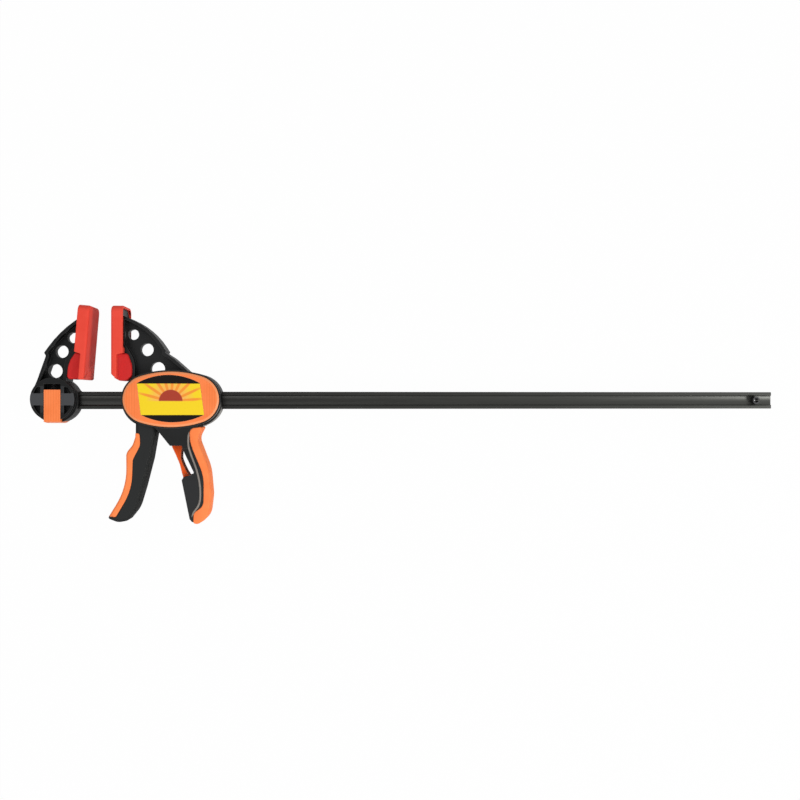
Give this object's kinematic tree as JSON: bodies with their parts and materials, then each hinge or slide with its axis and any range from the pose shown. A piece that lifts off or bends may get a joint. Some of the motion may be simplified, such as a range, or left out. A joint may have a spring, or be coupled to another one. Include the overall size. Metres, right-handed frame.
{
  "type": "quick release bar clamp",
  "caption": "One-handed quick release bar clamp: steel bar, leaning fixed jaw, sliding head with pistol grip, squeeze trigger and release, soft jaw pads.",
  "frame": {"origin": "under the middle of the whole clamp, on the plane of the two pads' rear sides", "axes": "+X along the bar from the fixed jaw to the stop pin, +Y from the handles to the jaws, +Z out of the labelled face"},
  "size_m": [0.7866, 0.225, 0.0394],
  "materials": {
    "bar_steel": "black oxide over cold-rolled steel, satin",
    "bright_steel": "plain turned or drawn steel",
    "hard_steel": "hardened and oiled steel plate",
    "black_nylon": "glass-filled nylon, spark-eroded mould texture",
    "orange_plastic": "moulded plastic, fine satin texture",
    "release_orange": "moulded plastic, satin",
    "orange_grip": "soft overmoulded elastomer, dull",
    "red_pad": "soft non-marking pad, dull",
    "yellow_label": "plain domed label, unprinted"
  },
  "bodies": {
    "root": {"bar": "bar_steel", "stop_pin": "bright_steel", "fixed_jaw": "black_nylon", "fixed_pad": "red_pad"},
    "lock": {"lock_button": "orange_plastic", "lock_pin": "bright_steel", "lock_springs": "bright_steel"},
    "head": {"head_body": "black_nylon", "moving_pad": "red_pad", "front_cover": "orange_plastic", "rear_cover": "orange_plastic", "front_label": "yellow_label", "cover_screws": "bright_steel", "trigger_pin": "bright_steel", "release_pin": "bright_steel", "handle_grip": "orange_grip", "drive_spring": "bright_steel", "brake_spring": "bright_steel"},
    "trigger": {"trigger_lever": "black_nylon", "trigger_grip": "orange_grip"},
    "drive": {"drive_plates": "hard_steel"},
    "release": {"release_trigger": "release_orange"},
    "brake": {"brake_plate": "hard_steel"}
  },
  "joints": [
    {"name": "head_slide", "type": "slide", "parent": "root", "child": "head", "axis": [1, 0, 0], "range_m": [-0.0198, 0.5734]},
    {"name": "trigger_squeeze", "type": "hinge", "parent": "head", "child": "trigger", "pos_m": [-0.2749, 0.03308, 0.0197], "axis": [0, 0, 1], "range_deg": [0, 15], "stiffness_Nm_per_rad": 2, "springref_deg": -9.74, "deforming": ["drive_spring"]},
    {"name": "drive_step", "type": "slide", "parent": "head", "child": "drive", "axis": [1, 0, 0], "range_m": [0, 0.0062], "deforming": ["drive_spring"]},
    {"name": "release_squeeze", "type": "hinge", "parent": "head", "child": "release", "pos_m": [-0.2369, -0.06742, 0.0197], "axis": [0, 0, -1], "range_deg": [0, 6], "stiffness_Nm_per_rad": 1, "springref_deg": -2.86, "deforming": ["brake_spring"]},
    {"name": "brake_tilt", "type": "hinge", "parent": "head", "child": "brake", "pos_m": [-0.2339, 0.03308, 0.0197], "axis": [0, 0, 1], "range_deg": [0, 6.5], "deforming": ["brake_spring"]},
    {"name": "lock_press", "type": "slide", "parent": "root", "child": "lock", "axis": [0, 1, 0], "range_m": [0, 0.0044], "stiffness_N_per_m": 500, "springref_m": -0.004, "deforming": ["lock_springs"]}
  ],
  "couplings": [
    {"joint": "drive_step", "follows": "trigger_squeeze", "m_per_rad": 0.02293},
    {"joint": "brake_tilt", "follows": "release_squeeze", "ratio": 1.0722}
  ]
}
